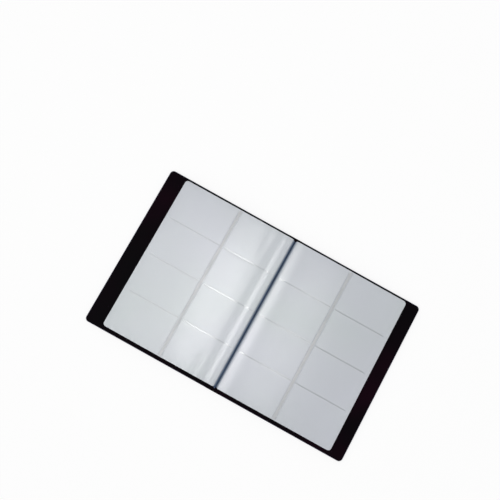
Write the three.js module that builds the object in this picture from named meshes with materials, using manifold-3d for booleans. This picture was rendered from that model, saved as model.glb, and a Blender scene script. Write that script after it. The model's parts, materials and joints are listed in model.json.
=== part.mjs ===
// A business card album, lying open. Millimetres, x towards the back cover, y to the head, z up.
// The origin is at the middle of the open album, on the surface that its two covers lie on.
import * as THREE from "three";
import { mergeVertices } from "three/addons/utils/BufferGeometryUtils.js";
import Module from "manifold-3d";

const wasm = await Module();
wasm.setup();

// The cards that the pockets are made for, and how loosely a card fits
const cardLength = 90;
const cardWidth = 54;
const cardEndEase = 0.3;
const cardSideEase = 5.8;
const pocketRows = 4;

// One leaf: a white core with a clear film welded on each face
const coreThick = 0.4;
const filmThick = 0.15;
const pocketGap = 0.2;
const edgeWeld = 1.6;
const rowWeld = 1.2;
const weldGroove = 0.6;
const slotWidth = 4;
const leafCornerRadius = 4.5;
const leavesPerSide = 6;
const leafGap = 0.3;

// The binding strip that holds the leaves' inner edges
const stripHalfWidth = 2;
const stripClearance = 0.3;
const crestClearance = 0.2;

// The layers of a cover, from its outside to its inside
const skinThick = 0.8;
const foamThick = 1.2;
const boardThick = 1.6;
const liningThick = 0.6;
const spineBoardThick = 2.8;
const layerEase = 0.3;

// The cover's outline and the shape of its skin
const coverWidth = 204;
const headMargin = 5.5;
const coverCornerRadius = 6;
const flangeWidth = 3;
const panelBevel = 0.8;
const panelCornerRadius = 3;
const beadWidth = 6.4;
const beadDrop = 0.6;
const grooveWidth = 3.6;

// The thin fold of skin between the spine and each cover
const webWidth = 2.7;
const webThick = 0.8;
const webGap = 0.3;
const webRise = 0.2;

// How far a cutting tool reaches past what it cuts, and how near two points are to count as one
const cutMargin = 1;
const mergeDistance = 1e-4;

// How many straight steps stand for a quarter round corner, a bevel and the bead's half round
const cornerSteps = 6;
const panelCornerSteps = 4;
const bevelSteps = 2;
const beadSteps = 7;

// Sizes that follow from the values above
const pocketDepth = cardLength + cardEndEase;
const pocketHeight = cardWidth + cardSideEase;
const leafWidth = 2 * (edgeWeld + pocketDepth) + slotWidth;
const leafHeight = 2 * edgeWeld + pocketRows * pocketHeight + (pocketRows - 1) * rowWeld;
const leafThick = coreThick + 2 * (pocketGap + filmThick);
const leafPitch = leafThick + leafGap;
const leafStart = stripHalfWidth + stripClearance;

const skinTop = skinThick + foamThick + boardThick;
const liningTop = skinTop + liningThick;
const coverHeight = leafHeight + 2 * headMargin;
const webTop = skinTop + webRise;
const hingeHeight = webTop - webThick / 2;
const stackBottom = liningTop + leafGap;
const stackTop = stackBottom + leavesPerSide * leafPitch - leafGap;
const crestHeight = stackTop + crestClearance;
const foldX = crestHeight - hingeHeight;
const coverStart = foldX + webWidth / 2 + webGap;
const coverEnd = foldX + coverWidth;
const spineHalf = foldX - webWidth / 2 - webGap;

const skinMaterial = new THREE.MeshStandardMaterial({ color: 0x282c44, roughness: 0.5, metalness: 0 });
const foamMaterial = new THREE.MeshStandardMaterial({ color: 0xd8d4c4, roughness: 0.95, metalness: 0 });
const boardMaterial = new THREE.MeshStandardMaterial({ color: 0x8d8272, roughness: 0.9, metalness: 0 });
const liningMaterial = new THREE.MeshStandardMaterial({ color: 0x0c070d, roughness: 0.6, metalness: 0 });
const coreMaterial = new THREE.MeshStandardMaterial({ color: 0xd0d4da, roughness: 0.45, metalness: 0 });
const filmMaterial = new THREE.MeshStandardMaterial({
  color: 0xe6ebf2,
  roughness: 0.12,
  metalness: 0,
  transparent: true,
  opacity: 0.35,
});
const stripMaterial = new THREE.MeshStandardMaterial({ color: 0x2c3646, roughness: 0.5, metalness: 0 });

function solidOf(geometry) {
  const bare = geometry.clone();
  bare.deleteAttribute("normal");
  bare.deleteAttribute("uv");
  const merged = mergeVertices(bare, mergeDistance);
  const positions = new Float32Array(merged.attributes.position.array);
  const triangles = new Uint32Array(merged.index.array);
  return new wasm.Manifold(new wasm.Mesh({ numProp: 3, vertProperties: positions, triVerts: triangles }));
}

function geometryOf(solid) {
  const mesh = solid.getMesh();
  const geometry = new THREE.BufferGeometry();
  geometry.setAttribute("position", new THREE.BufferAttribute(new Float32Array(mesh.vertProperties), 3));
  geometry.setIndex(new THREE.BufferAttribute(new Uint32Array(mesh.triVerts), 1));
  geometry.computeVertexNormals();
  return geometry;
}

function named(name, geometry, material) {
  const mesh = new THREE.Mesh(geometry, material);
  mesh.name = name;
  return mesh;
}

// A rectangle whose two corners away from x = 0 are rounded by outerRadius, and the others by innerRadius
function outline(x0, x1, halfHeight, innerRadius, outerRadius) {
  const shape = new THREE.Shape();
  shape.moveTo(x0 + innerRadius, -halfHeight);
  shape.lineTo(x1 - outerRadius, -halfHeight);
  if (outerRadius > 0) {
    shape.absarc(x1 - outerRadius, -halfHeight + outerRadius, outerRadius, -Math.PI / 2, 0, false);
    shape.absarc(x1 - outerRadius, halfHeight - outerRadius, outerRadius, 0, Math.PI / 2, false);
  } else {
    shape.lineTo(x1, -halfHeight);
    shape.lineTo(x1, halfHeight);
  }
  shape.lineTo(x0 + innerRadius, halfHeight);
  if (innerRadius > 0) {
    shape.absarc(x0 + innerRadius, halfHeight - innerRadius, innerRadius, Math.PI / 2, Math.PI, false);
    shape.absarc(x0 + innerRadius, -halfHeight + innerRadius, innerRadius, Math.PI, 1.5 * Math.PI, false);
  } else {
    shape.lineTo(x0, halfHeight);
    shape.lineTo(x0, -halfHeight);
  }
  return shape;
}

// A flat sheet of an outline, between two heights
function sheet(shape, bottom, top) {
  const geometry = new THREE.ExtrudeGeometry(shape, {
    depth: top - bottom,
    bevelEnabled: false,
    curveSegments: cornerSteps,
  });
  return geometry.translate(0, 0, bottom);
}

function box(x0, x1, y0, y1, z0, z1) {
  const geometry = new THREE.BoxGeometry(x1 - x0, y1 - y0, z1 - z0);
  return geometry.translate((x0 + x1) / 2, (y0 + y1) / 2, (z0 + z1) / 2);
}

// A block whose lower edges are bevelled, standing from z = 0 up to the given height
function bevelledBlock(x0, x1, halfHeight, innerRadius, outerRadius, top) {
  const shape = outline(
    x0 + panelBevel,
    x1 - panelBevel,
    halfHeight - panelBevel,
    Math.max(innerRadius - panelBevel, 0),
    Math.max(outerRadius - panelBevel, 0),
  );
  const geometry = new THREE.ExtrudeGeometry(shape, {
    depth: top,
    bevelEnabled: true,
    bevelThickness: panelBevel,
    bevelSize: panelBevel,
    bevelSegments: bevelSteps,
    curveSegments: panelCornerSteps,
  });
  geometry.translate(0, 0, panelBevel);
  const reach = 2 * panelBevel + cutMargin;
  const above = box(x0 - reach, x1 + reach, -halfHeight - reach, halfHeight + reach, top, top + reach);
  return solidOf(geometry).subtract(solidOf(above));
}

// A half-round rib along y, hanging down from the given height
function bead(x0, x1, halfHeight, bottom, top) {
  const profile = new THREE.Shape();
  profile.absellipse((x0 + x1) / 2, top, (x1 - x0) / 2, top - bottom, Math.PI, 2 * Math.PI, false, 0);
  profile.closePath();
  const geometry = new THREE.ExtrudeGeometry(profile, {
    depth: 2 * halfHeight,
    bevelEnabled: false,
    curveSegments: beadSteps,
  });
  geometry.rotateX(Math.PI / 2);
  geometry.translate(0, halfHeight, 0);
  return solidOf(geometry);
}

// One cover: skin, foam, board and lining, made for the right-hand side
function cover(prefix) {
  const halfHeight = coverHeight / 2;
  const panelStart = coverStart + beadWidth + grooveWidth;
  const panelEnd = coverEnd - flangeWidth;
  const panelHalf = halfHeight - flangeWidth;
  const coverOutline = outline(coverStart, coverEnd, halfHeight, 0, coverCornerRadius);

  const flange = solidOf(sheet(coverOutline, skinTop - skinThick, skinTop));
  const panel = bevelledBlock(panelStart, panelEnd, panelHalf, panelCornerRadius, panelCornerRadius, skinTop);
  const rib = bead(coverStart, coverStart + beadWidth, panelHalf, beadDrop, skinTop);
  const innerRadius = panelCornerRadius - skinThick;
  const hollow = outline(
    panelStart + skinThick,
    panelEnd - skinThick,
    panelHalf - skinThick,
    innerRadius,
    innerRadius,
  );
  const cavity = solidOf(sheet(hollow, skinThick, skinTop + cutMargin));
  const skin = flange.add(panel).add(rib).subtract(cavity);

  const filling = outline(
    panelStart + skinThick + layerEase,
    panelEnd - skinThick - layerEase,
    panelHalf - skinThick - layerEase,
    innerRadius,
    innerRadius,
  );
  const foamTop = skinThick + foamThick;
  const group = new THREE.Group();
  group.add(named(`${prefix}_skin`, geometryOf(skin), skinMaterial));
  group.add(named(`${prefix}_foam`, sheet(filling, skinThick, foamTop), foamMaterial));
  group.add(named(`${prefix}_board`, sheet(filling, foamTop, skinTop), boardMaterial));
  group.add(named(`${prefix}_lining`, sheet(coverOutline, skinTop, liningTop), liningMaterial));
  return group;
}

// The spine: skin, board and lining between the two folds
function spine() {
  const halfHeight = coverHeight / 2;
  const panelHalf = halfHeight - flangeWidth;
  const plate = outline(-spineHalf, spineHalf, halfHeight, 0, 0);
  const flange = solidOf(sheet(plate, skinTop - skinThick, skinTop));
  const panel = bevelledBlock(-spineHalf, spineHalf, panelHalf, 0, 0, skinTop);
  const wall = spineHalf - skinThick;
  const hollow = outline(-wall, wall, panelHalf - skinThick, 0, 0);
  const cavity = solidOf(sheet(hollow, skinThick, skinTop + cutMargin));
  const filling = outline(-wall + layerEase, wall - layerEase, panelHalf - skinThick - layerEase, 0, 0);

  const group = new THREE.Group();
  group.add(named("spine_skin", geometryOf(flange.add(panel).subtract(cavity)), skinMaterial));
  group.add(named("spine_board", sheet(filling, skinTop - spineBoardThick, skinTop), boardMaterial));
  group.add(named("spine_lining", sheet(plate, skinTop, liningTop), liningMaterial));
  return group;
}

// The fold of bare skin beside the spine, on the right-hand side
function hingeWeb(name) {
  const half = coverHeight / 2;
  const web = box(foldX - webWidth / 2, foldX + webWidth / 2, -half, half, webTop - webThick, webTop);
  return named(name, web, skinMaterial);
}

function bindingStrip() {
  const half = leafHeight / 2;
  const top = crestHeight - crestClearance;
  return named("binding_strip", box(-stripHalfWidth, stripHalfWidth, -half, half, liningTop, top), stripMaterial);
}

// A film lying on z = 0 with its pockets underneath, open towards the slot down its middle.
// Each weld between two rows is pressed down to the core, and stops short of the slot.
function film(name) {
  const thick = pocketGap + filmThick;
  const leafEnd = leafStart + leafWidth;
  const middle = (leafStart + leafEnd) / 2;
  const shape = outline(leafStart, leafEnd, leafHeight / 2, 0, leafCornerRadius);
  let solid = solidOf(sheet(shape, 0, thick));
  const slotHalf = leafHeight / 2 - edgeWeld;
  const slot = box(
    middle - slotWidth / 2,
    middle + slotWidth / 2,
    -slotHalf,
    slotHalf,
    -cutMargin,
    thick + cutMargin,
  );
  solid = solid.subtract(solidOf(slot));
  for (let row = 0; row < pocketRows; row++) {
    const tail = -slotHalf + row * (pocketHeight + rowWeld);
    const pocket = box(
      leafStart + edgeWeld,
      leafEnd - edgeWeld,
      tail,
      tail + pocketHeight,
      -cutMargin,
      pocketGap,
    );
    solid = solid.subtract(solidOf(pocket));
  }
  for (let row = 1; row < pocketRows; row++) {
    const weld = -slotHalf + row * (pocketHeight + rowWeld) - rowWeld / 2;
    for (const start of [leafStart + edgeWeld, middle + slotWidth / 2 + weldGroove]) {
      const end = start + pocketDepth - weldGroove;
      const groove = box(start, end, weld - weldGroove / 2, weld + weldGroove / 2, filmThick, thick + cutMargin);
      solid = solid.subtract(solidOf(groove));
    }
  }
  return named(name, geometryOf(solid), filmMaterial);
}

// One leaf on the right-hand side, its lower film turned over to face down
function leaf(prefix, bottom) {
  const faceThick = pocketGap + filmThick;
  const shape = outline(leafStart, leafStart + leafWidth, leafHeight / 2, 0, leafCornerRadius);
  const coreBottom = bottom + faceThick;
  const coreTop = coreBottom + coreThick;
  const core = named(`${prefix}_core`, sheet(shape, coreBottom, coreTop), coreMaterial);
  const upper = film(`${prefix}_upper_film`);
  upper.position.z = coreTop;
  const lower = film(`${prefix}_lower_film`);
  lower.rotation.x = Math.PI;
  lower.position.z = coreBottom;
  const group = new THREE.Group();
  group.add(core, upper, lower);
  return group;
}

// The right half as modelled, and the left half as the same pieces turned half round the z axis
const album = new THREE.Group();
const rightHalf = new THREE.Group();
const leftHalf = new THREE.Group();
leftHalf.rotation.z = Math.PI;
rightHalf.add(cover("back"), hingeWeb("back_hinge_web"));
leftHalf.add(cover("front"), hingeWeb("front_hinge_web"));
for (let number = 1; number <= leavesPerSide; number++) {
  const bottom = stackBottom + (number - 1) * leafPitch;
  rightHalf.add(leaf(`right_leaf_${number}`, bottom));
  leftHalf.add(leaf(`left_leaf_${number}`, bottom));
}
album.add(rightHalf, leftHalf, spine(), bindingStrip());

export default album;
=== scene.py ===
import json
import math

import bpy
import numpy as np
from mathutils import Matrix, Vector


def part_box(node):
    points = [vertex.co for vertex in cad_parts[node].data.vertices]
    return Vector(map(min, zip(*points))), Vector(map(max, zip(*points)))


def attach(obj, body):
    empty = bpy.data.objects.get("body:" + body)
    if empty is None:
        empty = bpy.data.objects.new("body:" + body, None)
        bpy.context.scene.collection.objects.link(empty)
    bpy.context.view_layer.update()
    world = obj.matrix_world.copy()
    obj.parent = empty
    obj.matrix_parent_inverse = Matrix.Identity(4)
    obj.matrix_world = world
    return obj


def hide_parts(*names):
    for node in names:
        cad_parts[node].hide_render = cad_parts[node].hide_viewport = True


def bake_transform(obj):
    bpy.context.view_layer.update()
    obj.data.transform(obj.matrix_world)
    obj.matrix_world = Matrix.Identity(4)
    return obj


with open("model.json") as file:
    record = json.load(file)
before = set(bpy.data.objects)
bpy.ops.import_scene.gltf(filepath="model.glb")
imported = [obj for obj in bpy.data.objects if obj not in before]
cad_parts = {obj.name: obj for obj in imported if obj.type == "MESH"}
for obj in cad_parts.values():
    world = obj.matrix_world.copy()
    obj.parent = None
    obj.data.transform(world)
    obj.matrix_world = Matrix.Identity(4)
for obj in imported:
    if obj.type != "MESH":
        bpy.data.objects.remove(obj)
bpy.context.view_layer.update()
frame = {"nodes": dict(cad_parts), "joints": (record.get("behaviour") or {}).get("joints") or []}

# The shapes below are worked out in millimetres, and each mesh is made in metres.
MM = 0.001


def extent(node):
    """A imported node's lowest and highest corner, in millimetres."""
    low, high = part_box(node)
    return np.array(low) / MM, np.array(high) / MM


def joint_place(name):
    """Where a packed joint turns, in millimetres."""
    return next(np.array(joint["pos_m"]) / MM for joint in frame["joints"] if joint["name"] == name)


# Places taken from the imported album
LEAF_LOW, LEAF_HIGH = extent("right_leaf_1_core")
LEAF_START, LEAF_END, LEAF_HALF = LEAF_LOW[0], LEAF_HIGH[0], LEAF_HIGH[1]
LINING_LOW, LINING_HIGH = extent("back_lining")
COVER_START, COVER_END, COVER_HALF = LINING_LOW[0], LINING_HIGH[0], LINING_HIGH[1]
LINING_BOTTOM, LINING_TOP = LINING_LOW[2], LINING_HIGH[2]
SPINE_HALF = extent("spine_lining")[1][0]
FOLD_X = joint_place("spine_fold")[0]
STRIP_LOW, STRIP_HIGH = extent("binding_strip")

# The leaves, and the pockets welded on each face
LEAVES_PER_SIDE = 6
POCKET_ROWS = 4
LEAF_CORNER = 4.5
GUTTER_CORNER = 3.0
LEAF_HEADWARD = 1.3
LEAF_BEND_HALF = 0.8
CORE_THICK = 0.3
FILM_THICK = 0.06
FILM_CONTACT = 0.02
EDGE_WELD = 1.6
WELD_WIDTH = 1.6
WELD_RIB = 0.005
WELD_FROM_GUTTER = 4.0
WELD_FROM_SLOT = 2.4
WELD_FROM_FORE_EDGE = 7.5
SLOT_WIDTH = 4.0
POCKET_PUFF = 0.2
PUFF_REACH = 2.4

# The lips of the pockets' mouths, which lie down or stand up, and wander along the slot. A drift gives
# the length of a wave, how much it sways, and the lengths of its sway and its beat.
LIP_WIDTH = 1.8
LIP_REACH = 3.0
LIP_LIFT = {"right": -0.14, "left": 0.12}
LIP_STEADY = 0.6
LIP_LIFT_DRIFT = (11.0, 1.3, 23.0, 37.0)
LIP_WANDER = {"right": 0.15, "left": 0.7}
LIP_WANDER_DRIFT = (7.0, 2.1, 31.0, 19.0)

# How the stack lies: bound low in the strip, rising over a crest beside it, sagging at the fore edge
ROOT_BOTTOM = 4.85
ROOT_PITCH = 0.72
ROOT_RUN = {"right": 3.6, "left": 2.8}
ROOT_INWARD = {"right": 0.5, "left": 1.7}
ROOT_INWARD_RUN = 6.0
CREST_RUN = {"right": 25.0, "left": 10.0}
CREST_SHARE = {"right": 0.3, "left": 0.25}
DRAWN_IN = {"right": (0.0, 0.0), "left": (3.6, 4.2)}
DRAWN_RUN = 40.0
FORE_SAG = 0.28
SAG_START = 45.0

# The left stack arches more, so it sinks a little past its crest and again near head and tail
TROUGH_DEPTH = 0.075
TROUGH_PLACE = 21.0
TROUGH_WIDTH = 8.5
END_TROUGH_DEPTH = 0.03
END_TROUGH_PLACE = 41.0
END_TROUGH_WIDTH = 6.5
END_TROUGH_START = 68.0
END_TROUGH_RUN = 45.0

# The slow waves of slack sheets, faint near the gutter
RIPPLE_HEIGHT = 0.07
RIPPLE_SEED = {"right": 7, "left": 11}
RIPPLE_WAVES = 5
RIPPLE_LENGTHS = (34, 90)
RIPPLE_AT_GUTTER = 0.12
RIPPLE_START = 18.0
RIPPLE_RUN = 45.0

# The strip between the stacks
STRIP_DROP = 3.2
STRIP_SIDE_EASE = 0.8
STRIP_SIDE_ROUND = 1.2
STRIP_END_ROUND = 1.5

# The covers: a flat welded flange round a padded panel, and a bead beside the fold
SKIN_THICK = 0.8
FLANGE_WIDTH = 3.0
COVER_CORNER = 6.0
PANEL_CORNER = 3.5
PANEL_EDGE = 1.4
CROWN_SHARE = 0.1
CROWN_RUN = 22.0
# A narrow strip along the panel's edge beside the groove, given a lighter shade as painted highlight
EDGE_HIGHLIGHT_WIDTH = 0.6
BEAD_WIDTH = 6.4
BEAD_DROP = 0.6
BEAD_END_RUN = 2.5
GROOVE_WIDTH = 3.6
SEAM_INSET = 1.9
SEAM_HALF = 0.45
SEAM_DEPTH = 0.22
EDGE_ROLL = 0.55
EDGE_ROLL_DEPTH = 0.5
EDGE_SKIN = 0.5
SHEET_CLEAR = 0.02
FOAM_INSET = 1.15
FOAM_THICK = 1.2
FOAM_TOP = SKIN_THICK + FOAM_THICK
FOAM_EDGE = 0.2

# The folds and the knurl pressed along them
FOLD_HALF = 1.35
FOLD_OUTSIDE = 2.8
RIB_PITCH = 2.1
RIB_LENGTH = 2.6
RIB_WIDTH = 1.0
RIB_HEIGHT = 0.5
RIB_SEGMENTS = 8
RIB_RINGS = 6

# Where a leaf has grid lines, from its inner edge: over its roll, its dive to the strip and its curve
ROLL_LINES = np.arange(0.06, 0.9, 0.06)
DIVE_LINES = np.arange(1.05, 2.6, 0.15)
CURVE_LINES = np.arange(5.0, 48.0, 2.5)

# The other grid lines over small shapes, and the longest steps between lines
WELD_LINES = (-1, -0.75, -0.4, 0, 0.4, 0.75, 1)
BEAD_LINES = (0.0, 1.0, 3.2, 5.4, BEAD_WIDTH)
PANEL_LINES = (0.0, 0.2, EDGE_HIGHLIGHT_WIDTH, PANEL_EDGE, CROWN_RUN)
RIM_LINES = (0.0, EDGE_ROLL, SEAM_INSET - SEAM_HALF, SEAM_INSET, SEAM_INSET + SEAM_HALF)
LINING_EDGE_LINE = 0.15
FOLD_COLUMNS = 15
PLAIN_GRID = 9.0
COVER_ROW_GRID = 8.0
FINE_GRID = 7.0
SPINE_GRID = 2.5
STRIP_GRID = 0.8
SHARPEST_SMOOTH = math.radians(38)

SIDES = (("right", "back", 1), ("left", "front", -1))


def smooth(t):
    """0 below 0 and 1 above 1, with a soft rise between."""
    t = np.clip(t, 0, 1)
    return t * t * (3 - 2 * t)


# Finishes

def linear(shade):
    """A colour written as six hex digits, as the linear values that a shader takes."""
    values = [int(shade[i:i + 2], 16) / 255 for i in (0, 2, 4)]
    return [v / 12.92 if v <= 0.04045 else ((v + 0.055) / 1.055) ** 2.4 for v in values] + [1.0]


def grey(value):
    return [value, value, value, 1.0]


def add(tree, kind, inputs=None, **settings):
    """Adds a node, sets what it says and links the sockets that it is given."""
    node = tree.nodes.new(kind)
    for name, value in settings.items():
        setattr(node, name, value)
    for name, value in (inputs or {}).items():
        if isinstance(value, bpy.types.NodeSocket):
            tree.links.new(value, node.inputs[name])
        else:
            node.inputs[name].default_value = value
    return node


def maths(tree, operation, *values, **settings):
    """The result of a Math node on the given values."""
    return add(tree, "ShaderNodeMath", dict(enumerate(values)), operation=operation, **settings).outputs[0]


def vector_maths(tree, operation, inputs):
    return add(tree, "ShaderNodeVectorMath", inputs, operation=operation).outputs[0]


def product(tree, value, *factors):
    for factor in factors:
        value = maths(tree, "MULTIPLY", value, factor)
    return value


def mapped(tree, where, **inputs):
    """A place turned or scaled about the origin."""
    return add(tree, "ShaderNodeMapping", {"Vector": where, **inputs}).outputs[0]


def speckle(tree, where, scale, detail, roughness):
    inputs = {"Vector": where, "Scale": scale, "Detail": detail, "Roughness": roughness}
    return add(tree, "ShaderNodeTexNoise", inputs).outputs["Fac"]


def cells(tree, where, scale, **settings):
    inputs = {"Vector": where, "Scale": scale}
    return add(tree, "ShaderNodeTexVoronoi", inputs, **settings).outputs["Distance"]


def ramp(tree, value, *stops):
    """A colour ramp, from pairs of place and shade. A shade is six hex digits, or a number for a grey."""
    node = add(tree, "ShaderNodeValToRGB", {"Fac": value})
    band = node.color_ramp
    while len(band.elements) < len(stops):
        band.elements.new(0.5)
    for element, (place, shade) in zip(band.elements, stops):
        element.position = place
        element.color = linear(shade) if isinstance(shade, str) else grey(shade)
    return node.outputs["Color"]


def blended(tree, share, a, b, blend_type="MIX"):
    inputs = {0: share, 6: a, 7: b}
    return add(tree, "ShaderNodeMix", inputs, data_type="RGBA", blend_type=blend_type).outputs[2]


def finish_of(name, **inputs):
    """A new material with one Principled shader, whose even values are set on its own sockets, and the
    place on the piece that its patterns read."""
    material = bpy.data.materials.new(name)
    material.use_nodes = True
    tree = material.node_tree
    shader = tree.nodes["Principled BSDF"]
    for socket, value in inputs.items():
        shader.inputs[socket.replace("_", " ")].default_value = value
    return material, tree, shader, add(tree, "ShaderNodeTexCoord").outputs["Object"]


def coloured(tree, shader, colour):
    tree.links.new(colour, shader.inputs["Base Color"])


def bumped(tree, shader, height, distance, strength):
    """Adds a bump of the given height in metres to a shader, over the bump that it already has."""
    bump = add(tree, "ShaderNodeBump", {"Height": height, "Distance": distance, "Strength": strength})
    if shader.inputs["Normal"].is_linked:
        tree.links.new(shader.inputs["Normal"].links[0].from_socket, bump.inputs["Normal"])
    tree.links.new(bump.outputs["Normal"], shader.inputs["Normal"])


def mottled(name, clouds, shades, grain, bump, **inputs):
    """A finish whose colour drifts through its shades in clouds, over a fine bumpy grain. clouds and grain
    give a noise's scale, detail and roughness, and bump gives its height in metres and its strength."""
    material, tree, shader, where = finish_of(name, **inputs)
    coloured(tree, shader, ramp(tree, speckle(tree, where, *clouds), *shades))
    bumped(tree, shader, speckle(tree, where, *grain), *bump)
    return material


def veins(tree, where, turn, scale, stretch, sharpness):
    """Long lines that run along one direction: where a stretched noise is near its middle value."""
    turned = mapped(tree, where, Rotation=(0, 0, turn))
    drawn = mapped(tree, turned, Scale=(1.0, stretch, stretch))
    value = speckle(tree, drawn, scale, 2.5, 0.55)
    off_middle = maths(tree, "ABSOLUTE", maths(tree, "SUBTRACT", value, 0.5))
    line = maths(tree, "SUBTRACT", 1.0, maths(tree, "MULTIPLY", off_middle, sharpness))
    return maths(tree, "POWER", maths(tree, "MAXIMUM", line, 0.0), 1.6)


def shifted(tree, where, scale, detail, reach):
    """A place moved about by a noise, so that a pattern on it wanders and frays."""
    noise = add(tree, "ShaderNodeTexNoise", {"Vector": where, "Scale": scale, "Detail": detail})
    centred = vector_maths(tree, "SUBTRACT", {0: noise.outputs["Color"], 1: (0.5, 0.5, 0.5)})
    shift = vector_maths(tree, "SCALE", {0: centred, "Scale": reach})
    return vector_maths(tree, "ADD", {0: where, 1: shift})


def leatherette():
    """Dark navy leatherette: sparse blue streaks along the cover's width, over a fine pebble grain."""
    material, tree, shader, where = finish_of(
        "marbled_navy_leatherette",
        Roughness=0.48,
        Specular_IOR_Level=0.12,
    )
    across = add(tree, "ShaderNodeSeparateXYZ", {"Vector": where}).outputs["X"]
    from_spine = product(tree, maths(tree, "ABSOLUTE", across), 3.4)
    clouds = product(tree, speckle(tree, where, 14.0, 4.0, 0.6), 0.5)
    tone = maths(tree, "ADD", from_spine, clouds)
    base = ramp(tree, tone, (0.22, "262844"), (0.5, "252a46"), (0.75, "21293e"), (0.95, "1d2737"))

    # The marbling comes in patches, and breaks up along the fibres of the backing.
    patch_noise = speckle(tree, mapped(tree, where, Rotation=(0, 0, -0.2), Scale=(1, 2.2, 1)), 8.0, 3.0, 0.6)
    patches = ramp(tree, patch_noise, (0.46, 0.0), (0.58, 1.0))
    fibres = ramp(tree, speckle(tree, where, 260.0, 5.0, 0.7), (0.38, 0.35), (0.62, 1.0))
    wavy = shifted(tree, where, scale=9.0, detail=1.0, reach=0.012)
    frayed = shifted(tree, wavy, scale=130.0, detail=4.0, reach=0.0025)
    wide = veins(tree, frayed, turn=-0.2, scale=2.4, stretch=9.0, sharpness=12.0)
    haze = maths(tree, "ADD", product(tree, wide, 0.45), 0.12)
    hazy = blended(tree, product(tree, haze, patches, fibres), base, linear("2e407c"))
    streaks = veins(tree, frayed, turn=-0.2, scale=2.4, stretch=9.0, sharpness=44.0)
    branches = product(tree, veins(tree, frayed, turn=-0.36, scale=3.4, stretch=7.5, sharpness=40.0), 0.6)
    hairs = product(tree, veins(tree, frayed, turn=-0.1, scale=5.0, stretch=10.0, sharpness=44.0), 0.5)
    fine = maths(tree, "ADD", streaks, maths(tree, "ADD", branches, hairs))
    amount = maths(tree, "MULTIPLY", product(tree, fine, patches, fibres), 0.85, use_clamp=True)
    veined = blended(tree, amount, hazy, linear("4361b0"))

    pebbles = cells(tree, where, 900.0)
    pits = ramp(tree, pebbles, (0.0, 1.0), (0.55, 0.85))
    coloured(tree, shader, blended(tree, 1.0, veined, pits, "MULTIPLY"))
    bumped(tree, shader, pebbles, 0.0001, 0.5)
    bumped(tree, shader, speckle(tree, where, 240.0, 4.0, 0.6), 0.0002, 0.35)
    return material


def lighter_skin(name, *shades):
    """The same leatherette, smoother and without marbling, in a lighter shade that paints the highlight on
    raised parts and edges.
    """
    return mottled(
        name,
        clouds=(60.0, 4.0, 0.6),
        shades=zip((0.32, 0.5, 0.7), shades),
        grain=(700.0, 3.0, 0.5),
        bump=(0.00006, 0.5),
        Roughness=0.42,
        Specular_IOR_Level=0.22,
    )


def groove_skin_painted_shade():
    """The same leatherette where the welding bar pressed it, with its grain flattened, and darker: the dark
    shades are painted shade in the groove and over the folds.
    """
    return mottled(
        "groove_leatherette_painted_shade",
        clouds=(45.0, 4.0, 0.6),
        shades=((0.32, "191b30"), (0.5, "1d2035"), (0.7, "1e2838")),
        grain=(500.0, 3.0, 0.5),
        bump=(0.00005, 0.4),
        Roughness=0.42,
        Specular_IOR_Level=0.12,
    )


def lining_vinyl():
    """Near-black maroon vinyl with a fine pressed grain."""
    material, tree, shader, where = finish_of(
        "maroon_black_vinyl",
        Roughness=0.55,
        Specular_IOR_Level=0.02,
    )
    clouds = speckle(tree, where, 8.0, 3.0, 0.5)
    coloured(tree, shader, ramp(tree, clouds, (0.36, "050406"), (0.52, "080307"), (0.68, "12030c")))
    bumped(tree, shader, cells(tree, where, 1500.0, feature="SMOOTH_F1"), 0.00008, 0.5)
    bumped(tree, shader, speckle(tree, where, 90.0, 3.0, 0.6), 0.0002, 0.25)
    return material


def strip_vinyl():
    """Navy grey vinyl, smooth from the welding bar."""
    return mottled(
        "navy_strip_vinyl",
        clouds=(35.0, 3.0, 0.5),
        shades=((0.35, "2a3850"), (0.65, "384a66")),
        grain=(500.0, 3.0, 0.5),
        bump=(0.00008, 0.4),
        Roughness=0.4,
        Specular_IOR_Level=0.3,
    )


def core_sheet():
    """Milky polypropylene sheet, satin, with the slow waves that a thin sheet keeps."""
    return mottled(
        "milky_core_sheet",
        clouds=(7.0, 3.0, 0.5),
        shades=((0.35, "acb3b6"), (0.5, "b0b4ba"), (0.65, "b3b6be")),
        grain=(40.0, 2.0, 0.4),
        bump=(0.0004, 0.12),
        Roughness=0.3,
        Specular_IOR_Level=0.5,
        Coat_Weight=1.0,
        Coat_Roughness=0.2,
        Coat_IOR=1.6,
    )


def bare_core():
    """The core between the pockets' mouths, without film over it: greyer, and less glossy."""
    return mottled(
        "bare_core_band",
        clouds=(30.0, 3.0, 0.5),
        shades=((0.35, "a3a6a9"), (0.65, "b0b1b4")),
        grain=(1600.0, 2.0, 0.5),
        bump=(0.00002, 0.25),
        Roughness=0.3,
        Specular_IOR_Level=0.5,
        Coat_Weight=0.4,
        Coat_Roughness=0.15,
    )


def clear_film():
    """Clear soft film: a faint milky haze with a clean gloss."""
    return mottled(
        "clear_pocket_film",
        clouds=(9.0, 3.0, 0.5),
        shades=((0.35, "e3e9ea"), (0.65, "e5e8ee")),
        grain=(60.0, 2.0, 0.4),
        bump=(0.0003, 0.15),
        Roughness=0.2,
        Specular_IOR_Level=0.7,
        Alpha=0.15,
        Coat_Weight=0.5,
        Coat_Roughness=0.16,
    )


def pressed_weld():
    """Film pressed on to the core by the welding bar: greyer, toothed, and glossier than the film."""
    material, tree, shader, where = finish_of(
        "pressed_film_weld",
        Roughness=0.15,
        Specular_IOR_Level=0.75,
        Coat_Weight=1.0,
        Coat_Roughness=0.14,
        Coat_IOR=1.5,
    )
    clouds = speckle(tree, where, 70.0, 4.0, 0.6)
    wave = add(tree, "ShaderNodeTexWave", {"Vector": where, "Scale": 131.0, "Distortion": 0.6})
    teeth = wave.outputs["Fac"]
    plain = ramp(tree, clouds, (0.3, "969b9e"), (0.7, "9fa3a6"))
    shade = ramp(tree, teeth, (0.0, 0.9), (0.6, 1.0))
    coloured(tree, shader, blended(tree, 1.0, plain, shade, "MULTIPLY"))
    bumped(tree, shader, teeth, 0.00005, 0.12)
    return material


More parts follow.
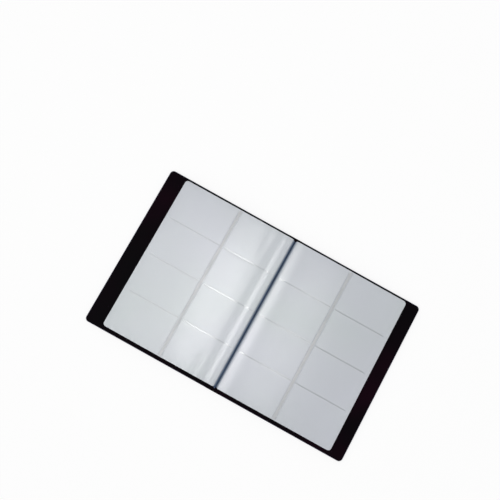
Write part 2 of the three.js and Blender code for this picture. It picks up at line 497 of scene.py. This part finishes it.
def shaded_gutter_weld():
    """The film's inner edge, welded down beside the binding strip, tinted a darker blue-grey: painted shade
    in the gutter.
    """
    return mottled(
        "gutter_film_weld_painted_shade",
        clouds=(50.0, 3.0, 0.5),
        shades=((0.3, "8390a0"), (0.7, "939eac")),
        grain=(1400.0, 2.0, 0.5),
        bump=(0.00005, 0.4),
        Roughness=0.3,
        Specular_IOR_Level=0.4,
        Alpha=0.8,
    )


def pocket_lip():
    """The rolled edge of a pocket's mouth, where the film turns back on itself."""
    return mottled(
        "pocket_lip_film",
        clouds=(45.0, 3.0, 0.5),
        shades=((0.35, "c2c7ca"), (0.65, "ced2d5")),
        grain=(120.0, 3.0, 0.5),
        bump=(0.0003, 0.3),
        Roughness=0.25,
        Specular_IOR_Level=0.6,
        Alpha=0.18,
    )


def book_board():
    """Grey-brown bookbinder's board with flecks of fibre."""
    material, tree, shader, where = finish_of("grey_book_board", Roughness=0.9, Specular_IOR_Level=0.2)
    flecks = speckle(tree, where, 350.0, 5.0, 0.7)
    coloured(tree, shader, ramp(tree, flecks, (0.3, "6f6557"), (0.6, "8d8272"), (0.8, "a59a89")))
    bumped(tree, shader, flecks, 0.0001, 0.6)
    return material


def foam_pad_finish():
    """Cream closed-cell foam with fine bubbles."""
    material, tree, shader, where = finish_of("cream_foam", Roughness=0.95, Specular_IOR_Level=0.2)
    bubbles = cells(tree, where, 1100.0)
    coloured(tree, shader, ramp(tree, bubbles, (0.0, "bdb8a6"), (0.6, "dcd8ca")))
    bumped(tree, shader, bubbles, 0.0002, 0.6)
    return material


FINISHES = {
    "skin": leatherette(),
    # Painted highlight: a lighter shade on the bead and on the lining's rolled rim
    "bead": lighter_skin("bead_leatherette_painted_highlight", "36354e", "42415b", "4e4d66"),
    # Painted highlight: a lighter shade on the knurl ribs and on the panel's edge beside the groove
    "rib": lighter_skin("rib_leatherette_painted_highlight", "57617b", "677089", "788196"),
    # Painted shade: a darker shade in the grooves beside the spine and over the folds
    "groove_shade": groove_skin_painted_shade(),
    "lining": lining_vinyl(),
    "strip": strip_vinyl(),
    "core": core_sheet(),
    "band": bare_core(),
    "film": clear_film(),
    "weld": pressed_weld(),
    # Painted shade: a darker blue-grey film at the gutter
    "gutter_shade": shaded_gutter_weld(),
    "lip": pocket_lip(),
    "board": book_board(),
    "foam": foam_pad_finish(),
}


# Making a sheet's mesh

def lines(marks, longest):
    """Grid lines through every mark, closer together beside a mark than halfway between two."""
    marks = sorted({round(float(mark), 4) for mark in marks})
    found = [marks[0]]
    for low, high in zip(marks, marks[1:]):
        # The widest step is about one and a half times the mean one.
        count = math.ceil(1.5 * (high - low) / longest)
        turns = np.linspace(0, math.pi, count + 1)[1:]
        found.extend(low + (high - low) * (1 - np.cos(turns)) / 2)
    return np.array(found)


def both_ways(marks):
    """The marks of a shape that is the same on both sides of its middle line."""
    return [0.0] + marks + [-mark for mark in marks]


def rounded(x, y, end, half, radius):
    """Draws a square grid's corners at its far end in to round ones."""
    a = (x - (end - radius)) / radius
    b = (np.abs(y) - (half - radius)) / radius
    corner = (a > 0) & (b > 0)
    a, b = np.clip(a, 0, 1), np.clip(b, 0, 1)
    round_x = end - radius + radius * a * np.sqrt(1 - b * b / 2)
    round_y = np.sign(y) * (half - radius + radius * b * np.sqrt(1 - a * a / 2))
    return np.where(corner, round_x, x), np.where(corner, round_y, y)


def inset(x, y, end, half, radius):
    """How far a point lies inside the outline's far end, head and tail."""
    across = x - (end - radius)
    along = np.abs(y) - (half - radius)
    outside = np.hypot(np.maximum(across, 0), np.maximum(along, 0))
    return radius - outside - np.minimum(np.maximum(across, along), 0)


def grid_faces(solid, finish):
    """The faces of a closed sheet over a grid of cells, and their finishes. Each solid cell has a face
    above and one below, and a wall on each side where no solid cell is next to it."""
    rows, columns = solid.shape
    top = np.arange((rows + 1) * (columns + 1)).reshape(rows + 1, columns + 1)
    row, column = np.nonzero(solid)
    corners = ((row, column), (row, column + 1), (row + 1, column + 1), (row + 1, column))
    above = np.stack([top[corner] for corner in corners], -1)
    quads = [above, above[:, ::-1] + top.size]
    kinds = [finish[row, column]] * 2
    padded = np.pad(solid, 1)
    for step_row, step_column in ((-1, 0), (1, 0), (0, -1), (0, 1)):
        beside = padded[1 + step_row:1 + step_row + rows, 1 + step_column:1 + step_column + columns]
        row, column = np.nonzero(solid & ~beside)
        start, end = {
            (-1, 0): ((row, column), (row, column + 1)),
            (1, 0): ((row + 1, column + 1), (row + 1, column)),
            (0, -1): ((row + 1, column), (row, column)),
            (0, 1): ((row, column + 1), (row + 1, column + 1)),
        }[(step_row, step_column)]
        quads.append(np.stack([top[start] + top.size, top[end] + top.size, top[end], top[start]], -1))
        kinds.append(finish[row, column])
    return np.concatenate(quads), np.concatenate(kinds)


def closed_sheet(name, columns, rows, heights, finishes, corner=None, near_corner=None, moved=None,
                 is_open=None, finish_at=None, turned=False, headward=0.0):
    """A closed body over a grid. heights gives its lower and upper surface. corner gives the end, half
    height and radius of its outline, and near_corner the same at its start. moved shifts its points along x
    at the last, and headward all of it. is_open says where it has no material, and finish_at which of its
    finishes a place has. Where turned, it is made half a turn round."""
    x, y = np.meshgrid(columns, rows)
    if corner:
        x, y = rounded(x, y, *corner)
    if near_corner:
        start, half, radius = near_corner
        from_start, y = rounded(-x, y, -start, half, radius)
        x = -from_start
    low, high = heights(x, y)
    middle_x, middle_y = ((place[1:, 1:] + place[:-1, :-1]) / 2 for place in (x, y))
    solid = ~is_open(middle_x, middle_y) if is_open else np.ones(middle_x.shape, bool)
    finish = finish_at(middle_x, middle_y).astype(int) if finish_at else np.zeros(middle_x.shape, int)
    if moved:
        x = moved(x, y)
    half_turn = -1 if turned else 1
    surfaces = [np.stack([half_turn * x, half_turn * y + headward, z], -1) for z in (high, low)]
    points = np.concatenate([surface.reshape(-1, 3) for surface in surfaces]) * MM
    quads, kinds = grid_faces(solid, finish)
    return mesh_object(name, points, quads, kinds, finishes)


def mesh_object(name, points, quads, kinds, finishes):
    """A mesh piece from points, four-sided faces and the number of each face's finish."""
    used = np.unique(quads)
    place = np.zeros(len(points), int)
    place[used] = np.arange(len(used))
    mesh = bpy.data.meshes.new(name)
    mesh.from_pydata(points[used].tolist(), [], place[quads].tolist())
    for finish in finishes:
        mesh.materials.append(FINISHES[finish])
    mesh.polygons.foreach_set("material_index", kinds.astype(np.int32))
    mesh.update()
    mesh.shade_smooth()
    mesh.set_sharp_from_angle(angle=SHARPEST_SMOOTH)
    return in_scene(name, mesh)


def in_scene(name, data):
    piece = bpy.data.objects.new(name, data)
    bpy.context.scene.collection.objects.link(piece)
    return piece


def ride(piece, body, slot, *nodes):
    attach(piece, body)
    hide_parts(*nodes)


def bend(piece, body_a, body_b, start, end, slot, *nodes):
    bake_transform(piece)
    if nodes:
        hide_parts(*nodes)


# Covers

PANEL_START = COVER_START + BEAD_WIDTH + GROOVE_WIDTH
PANEL_END = COVER_END - FLANGE_WIDTH
PANEL_HALF = COVER_HALF - FLANGE_WIDTH
FLANGE_OUTSIDE = LINING_BOTTOM - SKIN_THICK
COVER_OUTLINE = (COVER_END, COVER_HALF, COVER_CORNER)


def panel_inset(x, y):
    """How far a point lies inside the padded panel, whose four corners are round."""
    middle = (PANEL_START + PANEL_END) / 2
    return inset(np.abs(x - middle), y, (PANEL_END - PANEL_START) / 2, PANEL_HALF, PANEL_CORNER)


def quarter_round(distance, run):
    """0 at an edge, rising steeply and then levelling to 1 over the given run."""
    t = np.clip(distance / run, 0, 1)
    return np.sqrt(1 - (1 - t) ** 2)


def seam_depth(rim):
    """How deep the weld seam round a cover is pressed, at a distance from the rim."""
    return SEAM_DEPTH * np.clip(1 - ((rim - SEAM_INSET) / SEAM_HALF) ** 2, 0, 1)


def rim_marks(edge):
    """The marks of a cover's rolled rim and its weld seam, inward from one edge."""
    return [edge - step for step in RIM_LINES]


def cover_outside(x, y):
    """The height of a cover's outer surface: flange, padded panel, groove and bead."""
    from_edge = panel_inset(x, y)
    edge = (1 - CROWN_SHARE) * quarter_round(from_edge, PANEL_EDGE)
    depth = FLANGE_OUTSIDE * (edge + CROWN_SHARE * smooth(from_edge / CROWN_RUN))
    across = (x - COVER_START - BEAD_WIDTH / 2) / (BEAD_WIDTH / 2)
    bead = (FLANGE_OUTSIDE - BEAD_DROP) * np.sqrt(np.clip(1 - across ** 2, 0, 1))
    bead *= quarter_round(PANEL_HALF - np.abs(y), BEAD_END_RUN)
    rim = inset(x, y, *COVER_OUTLINE)
    roll = EDGE_ROLL_DEPTH * (1 - quarter_round(rim, EDGE_ROLL))
    return FLANGE_OUTSIDE - np.maximum(depth, bead) + seam_depth(rim) + roll


def cover_skin_heights(x, y):
    outside = cover_outside(x, y)
    padded = panel_inset(x, y) > 0
    inside = np.where(padded, np.minimum(outside + SKIN_THICK, LINING_BOTTOM), LINING_BOTTOM)
    return outside, inside


def cover_finish(x, y):
    """Marbled leatherette, 0, a lighter shade on the bead as painted highlight, 1, a darker shade in the
    groove as painted shade, 2, and a lighter shade on the edge of the panel beside it as painted highlight,
    3."""
    # The panel's edge beside the groove is painted lighter, as a highlight
    edge_highlight = (x > PANEL_START) & (x < PANEL_START + EDGE_HIGHLIGHT_WIDTH) & (np.abs(y) < PANEL_HALF)
    near_spine = np.where(x < COVER_START + BEAD_WIDTH, 1, 2)
    return np.where(x < PANEL_START, near_spine, np.where(edge_highlight, 3, 0))


def cover_skin(cover, turned):
    across = [COVER_START + step for step in BEAD_LINES]
    across += [PANEL_START + step for step in PANEL_LINES] + [PANEL_END - step for step in PANEL_LINES]
    along = [PANEL_HALF - step for step in PANEL_LINES]
    columns = lines(across + rim_marks(COVER_END), FINE_GRID)
    rows = lines(both_ways(along + rim_marks(COVER_HALF)), COVER_ROW_GRID)
    return closed_sheet(f"{cover}_cover_skin", columns, rows, cover_skin_heights,
                        ["skin", "bead", "groove_shade", "rib"], corner=COVER_OUTLINE, finish_at=cover_finish,
                        turned=turned)


def lining_heights(x, y):
    """A lining's two faces: its rim is rolled, and a weld seam is pressed in near it."""
    rim = inset(x, y, *COVER_OUTLINE)
    roll = EDGE_ROLL * (1 - quarter_round(rim, EDGE_ROLL))
    upper = LINING_TOP - roll - seam_depth(rim)
    return np.full_like(upper, LINING_BOTTOM), upper


def lining_finish(x, y):
    """Lining, 0, and the skin that is turned over its rim, 1, in the bead's lighter shade: a painted
    highlight along the rim.
    """
    return np.where(inset(x, y, *COVER_OUTLINE) > EDGE_SKIN, 0, 1)


def cover_lining(cover, turned):
    columns = lines([COVER_START, COVER_END - LINING_EDGE_LINE] + rim_marks(COVER_END), PLAIN_GRID)
    rows = lines(both_ways([COVER_HALF - LINING_EDGE_LINE] + rim_marks(COVER_HALF)), PLAIN_GRID)
    return closed_sheet(f"{cover}_cover_lining", columns, rows, lining_heights, ["lining", "bead"],
                        corner=COVER_OUTLINE, finish_at=lining_finish, turned=turned)


def cover_foam(cover, turned):
    """The pad between skin and board, with its lower edges following the skin's soft edge."""
    start, end, half = PANEL_START + FOAM_INSET, PANEL_END - FOAM_INSET, PANEL_HALF - FOAM_INSET

    def heights(x, y):
        low = np.minimum(cover_outside(x, y) + SKIN_THICK + SHEET_CLEAR, FOAM_TOP - FOAM_EDGE)
        return low, np.full_like(low, FOAM_TOP - SHEET_CLEAR)

    columns = lines([start, start + PANEL_EDGE, end - PANEL_EDGE, end], PLAIN_GRID)
    rows = lines(both_ways([half, half - PANEL_EDGE]), PLAIN_GRID)
    return closed_sheet(f"{cover}_cover_foam_pad", columns, rows, heights, ["foam"], turned=turned)


# Spine and folds

def spine_skin_heights(x, y):
    """The spine's skin: a panel with soft long edges between two flat ends."""
    depth = FLANGE_OUTSIDE * quarter_round(SPINE_HALF - np.abs(x), PANEL_EDGE)
    depth *= quarter_round(PANEL_HALF - np.abs(y), BEAD_END_RUN)
    outside = FLANGE_OUTSIDE - depth
    wall = np.minimum(SPINE_HALF - np.abs(x), PANEL_HALF - np.abs(y)) < SKIN_THICK
    return outside, np.where(wall, LINING_BOTTOM, np.minimum(outside + SKIN_THICK, LINING_BOTTOM))


def spine_skin():
    across = [SPINE_HALF, SPINE_HALF - SKIN_THICK, SPINE_HALF - PANEL_EDGE]
    along = [COVER_HALF, PANEL_HALF, PANEL_HALF - SKIN_THICK, PANEL_HALF - BEAD_END_RUN]
    columns, rows = lines(both_ways(across), SPINE_GRID), lines(both_ways(along), PLAIN_GRID)
    return closed_sheet("spine_panel_skin", columns, rows, spine_skin_heights, ["skin"])


def fold_sheet(name, low, high, finish, turned):
    """A strip of sheet that joins the spine to a cover over the fold."""
    def heights(x, y):
        return np.full_like(x, low), np.full_like(x, high)

    columns = np.linspace(SPINE_HALF, COVER_START, FOLD_COLUMNS)
    rows = lines(both_ways([COVER_HALF]), PLAIN_GRID)
    return closed_sheet(name, columns, rows, heights, [finish], turned=turned)


def knurl_tree():
    """Geometry Nodes: short round-ended ribs, side by side along a line."""
    tree = bpy.data.node_groups.new("knurl_ribs", "GeometryNodeTree")
    for name, kind in (
        ("Line Start", "NodeSocketVector"),
        ("Line Length", "NodeSocketFloat"),
        ("Rib Pitch", "NodeSocketFloat"),
        ("Rib Length", "NodeSocketFloat"),
        ("Rib Width", "NodeSocketFloat"),
        ("Rib Height", "NodeSocketFloat"),
        ("Finish", "NodeSocketMaterial"),
    ):
        tree.interface.new_socket(name, in_out="INPUT", socket_type=kind)
    tree.interface.new_socket("Ribs", in_out="OUTPUT", socket_type="NodeSocketGeometry")
    given = add(tree, "NodeGroupInput").outputs
    count = maths(tree, "FLOOR", maths(tree, "DIVIDE", given["Line Length"], given["Rib Pitch"]))
    step = add(tree, "ShaderNodeCombineXYZ", {"Y": given["Rib Pitch"]}).outputs[0]
    along = {"Count": count, "Start Location": given["Line Start"], "Offset": step}
    line = add(tree, "GeometryNodeMeshLine", along).outputs[0]
    round_shape = {"Segments": RIB_SEGMENTS, "Rings": RIB_RINGS, "Radius": 0.5}
    ball = add(tree, "GeometryNodeMeshUVSphere", round_shape).outputs["Mesh"]
    sizes = {"X": given["Rib Length"], "Y": given["Rib Width"], "Z": given["Rib Height"]}
    size = add(tree, "ShaderNodeCombineXYZ", sizes).outputs[0]
    rib = add(tree, "GeometryNodeTransform", {"Geometry": ball, "Scale": size}).outputs[0]
    ribs = add(tree, "GeometryNodeInstanceOnPoints", {"Points": line, "Instance": rib}).outputs[0]
    real = add(tree, "GeometryNodeRealizeInstances", {"Geometry": ribs}).outputs[0]
    shaded = add(tree, "GeometryNodeSetShadeSmooth", {"Geometry": real}).outputs[0]
    painted = {"Geometry": shaded, "Material": given["Finish"]}
    add(tree, "NodeGroupOutput", {"Ribs": add(tree, "GeometryNodeSetMaterial", painted).outputs[0]})
    return tree


def fold_knurl(cover, tree, sign):
    """The ribs pressed along one fold, as a plain mesh."""
    line_name = f"{cover}_knurl_line"
    host = in_scene(line_name, bpy.data.meshes.new(line_name))
    modifier = host.modifiers.new("Knurl", "NODES")
    modifier.node_group = tree
    values = {
        "Line Start": (sign * FOLD_X * MM, -PANEL_HALF * MM, FOLD_OUTSIDE * MM),
        "Line Length": 2 * PANEL_HALF * MM,
        "Rib Pitch": RIB_PITCH * MM,
        "Rib Length": RIB_LENGTH * MM,
        "Rib Width": RIB_WIDTH * MM,
        "Rib Height": RIB_HEIGHT * MM,
        # The ribs take the lighter shade, as painted highlight
        "Finish": FINISHES["rib"],
    }
    for item in tree.interface.items_tree:
        if item.in_out == "INPUT":
            modifier[item.identifier] = values[item.name]
    made = host.evaluated_get(bpy.context.evaluated_depsgraph_get())
    mesh = bpy.data.meshes.new_from_object(made)
    mesh.name = f"{cover}_fold_knurl"
    bpy.data.objects.remove(host)
    return in_scene(mesh.name, mesh)


# Leaves

POCKET_START = LEAF_START + EDGE_WELD
POCKET_END = LEAF_END - EDGE_WELD
SLOT_LOW = (LEAF_START + LEAF_END - SLOT_WIDTH) / 2
SLOT_HIGH = SLOT_LOW + SLOT_WIDTH
SLOT_HALF = LEAF_HALF - EDGE_WELD
ROW_PITCH = (2 * SLOT_HALF + WELD_WIDTH) / POCKET_ROWS
WELD_ROWS = [-SLOT_HALF - WELD_WIDTH / 2 + row * ROW_PITCH for row in range(1, POCKET_ROWS)]
WELD_SPANS = [
    (LEAF_START + WELD_FROM_GUTTER, SLOT_LOW - WELD_FROM_SLOT),
    (SLOT_HIGH + WELD_FROM_SLOT, LEAF_END - WELD_FROM_FORE_EDGE),
]
LEAF_OUTLINE = {
    "corner": (LEAF_END, LEAF_HALF, LEAF_CORNER),
    "near_corner": (LEAF_START, LEAF_HALF, GUTTER_CORNER),
    "headward": LEAF_HEADWARD,
}


def ripple(x, y, seed):
    """The slow waves of a slack sheet, from -1 to 1: a few long waves in directions set by the seed."""
    draw = np.random.default_rng(seed)
    total = np.zeros_like(x)
    for _ in range(RIPPLE_WAVES):
        angle, phase = draw.uniform(0, math.tau, 2)
        length = draw.uniform(*RIPPLE_LENGTHS)
        total += np.sin(math.tau / length * (x * math.cos(angle) + y * math.sin(angle)) + phase)
    return total / RIPPLE_WAVES


def left_trough(x, y):
    """How deep the troughs across the left stack are, for each leaf that lies below."""
    near_end = smooth((np.abs(y) - END_TROUGH_START) / END_TROUGH_RUN)
    past_crest = TROUGH_DEPTH * np.exp(-((x - TROUGH_PLACE) / TROUGH_WIDTH) ** 2)
    at_ends = END_TROUGH_DEPTH * near_end * np.exp(-((x - END_TROUGH_PLACE) / END_TROUGH_WIDTH) ** 2)
    return past_crest + at_ends


def leaf_middle(number, side):
    """The height of the middle of a leaf, as a function of the distance from the gutter and of y."""
    low, high = extent(f"{side}_leaf_{number}_core")
    level = (low[2] + high[2]) / 2
    leaves_below = number - 1
    root = ROOT_BOTTOM + ROOT_PITCH * leaves_below

    def height(x, y):
        steep = (1 - np.clip((x - LEAF_START) / ROOT_RUN[side], 0, 1)) ** 2
        gentle = (1 - np.clip((x - LEAF_START) / CREST_RUN[side], 0, 1)) ** 2
        dive = steep + CREST_SHARE[side] * (gentle - steep)
        trough = left_trough(x, y) * leaves_below * (1 - dive) if side == "left" else 0
        sag = leaves_below * FORE_SAG * smooth((x - SAG_START) / (LEAF_END - SAG_START))
        slack = RIPPLE_AT_GUTTER + (1 - RIPPLE_AT_GUTTER) * smooth((x - RIPPLE_START) / RIPPLE_RUN)
        slack *= leaves_below / (LEAVES_PER_SIDE - 1)
        wave = RIPPLE_HEIGHT * slack * (ripple(x, y, RIPPLE_SEED[side]) - 1)
        return level - (level - root) * dive - trough - sag + wave

    return height


def drawn_in(number, side):
    """How a leaf's points shift towards the gutter, because its stack arches over the fold."""
    least, most = DRAWN_IN[side]
    pull = least + (most - least) * (number - 1) / (LEAVES_PER_SIDE - 1)

    def moved(x, y):
        inward = ROOT_INWARD[side] * (1 - smooth((x - LEAF_START) / ROOT_INWARD_RUN))
        return x - pull * smooth((x - LEAF_START) / DRAWN_RUN) - inward

    return moved


def weld_distance(x, y):
    """How far a point is from the edge of the nearest row weld, below zero on the weld."""
    nearest = np.full_like(x, np.inf)
    for row in WELD_ROWS:
        for low, high in WELD_SPANS:
            past_end = np.maximum(np.maximum(low - x, x - high), 0)
            nearest = np.minimum(nearest, np.hypot(past_end, y - row) - WELD_WIDTH / 2)
    return nearest


def slot_distance(x):
    """How far across the leaf a point is from the slot, below zero in it."""
    return np.maximum(SLOT_LOW - x, x - SLOT_HIGH)


def drift(y, length, sway, sway_length, beat_length):
    """A wave from -1 to 1 along a pocket's mouth, uneven in its length and height."""
    return np.sin(y / length + sway * np.sin(y / sway_length)) * np.cos(y / beat_length)


def film_lift(x, y, side):
    """How far a film stands off the core: welded round the leaf and between the rows, and slack between."""
    edge = np.minimum(inset(x, y, LEAF_END, LEAF_HALF, LEAF_CORNER), x - LEAF_START) - EDGE_WELD
    closed = 1 - np.exp(-np.maximum(edge, 0) / PUFF_REACH)
    from_weld = weld_distance(x, y)
    pocket = 1 - np.exp(-np.maximum(from_weld, 0) / PUFF_REACH)
    into_weld = np.clip(-from_weld / (WELD_WIDTH / 2), 0, 1)
    rib = WELD_RIB * into_weld * (2 - into_weld)
    waver = LIP_STEADY + (1 - LIP_STEADY) * drift(y, *LIP_LIFT_DRIFT)
    lip = LIP_LIFT[side] * np.exp(-np.maximum(slot_distance(x), 0) / LIP_REACH) * waver
    return FILM_CONTACT + rib + closed * pocket * (POCKET_PUFF + lip)


def in_slot(x, y):
    return (x > SLOT_LOW) & (x < SLOT_HIGH) & (np.abs(y) < SLOT_HALF)


def film_finish(x, y):
    """Clear film, 0, apart from the row welds, 1, the pockets' mouths, 2, and the weld at the gutter, 3,
    which is tinted darker as painted shade.
    """
    welded = weld_distance(x, y) <= 0
    to_slot = slot_distance(x)
    mouth = (to_slot > 0) & (to_slot < LIP_WIDTH) & (np.abs(y) < SLOT_HALF)
    return np.where(x < POCKET_START, 3, np.where(welded, 1, np.where(mouth, 2, 0)))


def leaf_lines(fine):
    """The grid lines of a leaf: through its outline and gutter curve, and where fine, its welds and lips."""
    across = [LEAF_START, LEAF_START + GUTTER_CORNER, SLOT_LOW, SLOT_HIGH, LEAF_END - LEAF_CORNER, LEAF_END]
    for steps in (ROLL_LINES, DIVE_LINES, CURVE_LINES):
        across += list(LEAF_START + steps)
    along = both_ways([LEAF_HALF, LEAF_HALF - GUTTER_CORNER, LEAF_HALF - LEAF_CORNER, SLOT_HALF])
    if fine:
        across += [POCKET_START, SLOT_LOW - LIP_WIDTH, SLOT_HIGH + LIP_WIDTH, POCKET_END]
        across += [end for span in WELD_SPANS for end in span]
        along += [row + WELD_WIDTH / 2 * share for row in WELD_ROWS for share in WELD_LINES]
    longest = FINE_GRID if fine else PLAIN_GRID
    return lines(across, longest), lines(along, longest)


def leaf_core(number, side, turned):
    middle = leaf_middle(number, side)
    columns, rows = leaf_lines(fine=False)

    def heights(x, y):
        z = middle(x, y)
        return z - CORE_THICK / 2, z + CORE_THICK / 2

    return closed_sheet(f"{side}_leaf_{number}_sheet", columns, rows, heights, ["core", "band"],
                        moved=drawn_in(number, side), finish_at=in_slot, turned=turned, **LEAF_OUTLINE)


def leaf_film(number, side, face, turned):
    middle = leaf_middle(number, side)
    pulled = drawn_in(number, side)
    columns, rows = leaf_lines(fine=True)
    up = 1 if face == "upper" else -1

    def heights(x, y):
        inner = middle(x, y) + up * (CORE_THICK / 2 + film_lift(x, y, side))
        outer = inner + up * FILM_THICK
        return (inner, outer) if up > 0 else (outer, inner)

    def moved(x, y):
        near_slot = np.exp(-((x - (SLOT_LOW + SLOT_HIGH) / 2) / SLOT_WIDTH) ** 2)
        return pulled(x, y) + LIP_WANDER[side] * near_slot * drift(y, *LIP_WANDER_DRIFT)

    return closed_sheet(f"{side}_leaf_{number}_{face}_pockets", columns, rows, heights,
                        ["film", "weld", "lip", "gutter_shade"], moved=moved, is_open=in_slot,
                        finish_at=film_finish, turned=turned, **LEAF_OUTLINE)


def binding_strip():
    """The strip between the two stacks, with its top edges rounded by the welding bar."""
    half_width, half = STRIP_HIGH[0] - STRIP_SIDE_EASE, STRIP_HIGH[1]

    def heights(x, y):
        side_drop = STRIP_SIDE_ROUND * (1 - quarter_round(half_width - np.abs(x), STRIP_SIDE_ROUND))
        end_drop = STRIP_END_ROUND * (1 - quarter_round(half - np.abs(y), STRIP_END_ROUND))
        top = STRIP_HIGH[2] - STRIP_DROP - side_drop - end_drop
        return np.full_like(top, STRIP_LOW[2]), top

    columns = lines(both_ways([half_width, half_width - STRIP_SIDE_ROUND]), STRIP_GRID)
    rows = lines(both_ways([half, half - STRIP_END_ROUND]), PLAIN_GRID)
    return closed_sheet("gutter_strip", columns, rows, heights, ["strip"])


# Putting the album together

knurl = knurl_tree()
for side, cover, sign in SIDES:
    turned = sign < 0
    body = f"{cover}_cover"
    ride(cover_skin(cover, turned), body, "skin", f"{cover}_skin")
    ride(cover_lining(cover, turned), body, "lining", f"{cover}_lining")
    pad = cover_foam(cover, turned)
    ride(pad, body, "foam", f"{cover}_foam")
    fold = ("spine", body, (sign * (FOLD_X - FOLD_HALF), 0, 0), (sign * (FOLD_X + FOLD_HALF), 0, 0))
    # The fold's outer skin takes the dark groove shade, as painted shade
    outer = fold_sheet(f"{cover}_fold_skin", FOLD_OUTSIDE, LINING_BOTTOM, "groove_shade", turned)
    bend(outer, *fold, "skin", f"{cover}_hinge_web")
    inner = fold_sheet(f"{cover}_fold_lining", LINING_BOTTOM + SHEET_CLEAR, LINING_TOP, "lining", turned)
    bend(inner, *fold, "lining")
    bend(fold_knurl(cover, knurl, sign), *fold, "skin")

ride(spine_skin(), "spine", "skin", "spine_skin")
ride(binding_strip(), "spine", "strip", "binding_strip")

for side, cover, sign in SIDES:
    turned = sign < 0
    for number in range(1, LEAVES_PER_SIDE + 1):
        leaf = f"{side}_leaf_{number}"
        below = f"{side}_leaf_{number - 1}" if number > 1 else "spine"
        start = (sign * (LEAF_START - LEAF_BEND_HALF), 0, 0)
        end = (sign * (LEAF_START + LEAF_BEND_HALF), 0, 0)
        turn = (below, leaf, start, end) if turned else (leaf, below, end, start)
        bend(leaf_core(number, side, turned), *turn, "core", f"{leaf}_core")
        for face in ("upper", "lower"):
            bend(leaf_film(number, side, face, turned), *turn, "film", f"{leaf}_{face}_film")

for node, finish in (
    ("front_board", "board"),
    ("back_board", "board"),
    ("spine_board", "board"),
    ("spine_lining", "lining"),
):
    materials = frame["nodes"][node].data.materials
    materials.clear()
    materials.append(FINISHES[finish])


# Studio

# The photograph's camera: its place in metres, its turn in degrees, and its lens in millimetres
PHOTO_PLACE = (-0.0463, -0.0629, 1.0407)
PHOTO_TURN = (6.99, -3.516, 28.933)
PHOTO_LENS = 50.4
SENSOR_WIDTH = 36.0

# The floor in metres, and how it gives way to plain white further off
FLOOR_REACH = 8.0
FLOOR_HEIGHT = -0.0003
SHADE_REACH = 0.3
PLAIN_REACH = 1.2
PLAIN_NEAR = 0.7


def softbox(name, place, width, depth, brightness):
    """An oval lamp that looks straight down. Its brightness is its own radiance."""
    lamp = bpy.data.lights.new(name, "AREA")
    lamp.shape = "ELLIPSE"
    lamp.size, lamp.size_y = width, depth
    lamp.energy = brightness * math.pi * width * depth * math.pi / 4
    in_scene(name, lamp).location = place


def soft_sun(turn, strength, spread):
    """A weak far lamp, wide enough for soft shadows. The angles are in degrees."""
    sun = bpy.data.lights.new("soft_sun", "SUN")
    sun.energy = strength
    sun.angle = math.radians(spread)
    in_scene("soft_sun", sun).rotation_euler = [math.radians(angle) for angle in turn]


def seen_rays(tree):
    """1 for a ray that shows what it meets: from the camera, or by way of a reflection or clear film."""
    path = add(tree, "ShaderNodeLightPath").outputs
    mirrored = maths(tree, "MAXIMUM", path["Is Glossy Ray"], path["Is Transmission Ray"])
    return maths(tree, "MAXIMUM", path["Is Camera Ray"], mirrored)


def pale_world(fill):
    """An even white room for the light, which the camera and reflections see as plain white."""
    world = bpy.data.worlds.new("pale_room")
    world.use_nodes = True
    tree = world.node_tree
    tree.nodes.clear()
    light = add(tree, "ShaderNodeBackground", {"Color": grey(1.0), "Strength": fill}).outputs[0]
    white = add(tree, "ShaderNodeBackground", {"Color": grey(1.0), "Strength": 1.0}).outputs[0]
    mixed = add(tree, "ShaderNodeMixShader", {0: seen_rays(tree), 1: light, 2: white}).outputs[0]
    add(tree, "ShaderNodeOutputWorld", {"Surface": mixed})
    bpy.context.scene.world = world


def pale_floor():
    """A pale floor that keeps the album's shadow and turns plain white further off."""
    square = ((-1, -1), (1, -1), (1, 1), (-1, 1))
    corners = [(FLOOR_REACH * x, FLOOR_REACH * y, FLOOR_HEIGHT) for x, y in square]
    mesh = bpy.data.meshes.new("pale_floor")
    mesh.from_pydata(corners, [], [(0, 1, 2, 3)])
    material, tree, shader, where = finish_of(
        "pale_floor",
        Base_Color=grey(0.96),
        Roughness=0.9,
        Specular_IOR_Level=0.1,
    )
    reached = add(tree, "ShaderNodeVectorMath", {0: where}, operation="LENGTH").outputs["Value"]
    fade = {
        "Value": reached,
        "From Min": SHADE_REACH,
        "From Max": PLAIN_REACH,
        "To Min": PLAIN_NEAR,
        "To Max": 1.0,
    }
    share = add(tree, "ShaderNodeMapRange", fade).outputs[0]
    plain = product(tree, share, seen_rays(tree))
    white = add(tree, "ShaderNodeEmission", {"Color": grey(1.0), "Strength": 1.0}).outputs[0]
    mixed = add(tree, "ShaderNodeMixShader", {0: plain, 1: shader.outputs[0], 2: white}).outputs[0]
    tree.links.new(mixed, tree.nodes["Material Output"].inputs["Surface"])
    mesh.materials.append(material)
    piece = in_scene("pale_floor", mesh)


def photo_camera():
    """The photograph's view: nearly overhead, from the tail side, with the album turned in the frame."""
    lens = bpy.data.cameras.new("photo_camera")
    lens.sensor_width = SENSOR_WIDTH
    lens.lens = PHOTO_LENS
    holder = in_scene("photo_camera", lens)
    holder.location = PHOTO_PLACE
    holder.rotation_euler = [math.radians(angle) for angle in PHOTO_TURN]
    bpy.context.scene.camera = holder


pale_world(0.55)
soft_sun(turn=(20, -25, 0), strength=0.9, spread=35)
softbox("page_softbox", place=(-0.09, 0.05, 1.3), width=0.15, depth=0.64, brightness=8.2)
softbox("right_softbox", place=(0.21, 0.05, 1.3), width=0.17, depth=0.6, brightness=3.1)
softbox("left_softbox", place=(-0.3, 0.02, 1.3), width=0.24, depth=0.7, brightness=2.1)
pale_floor()
photo_camera()
bpy.context.scene.view_settings.view_transform = "Standard"
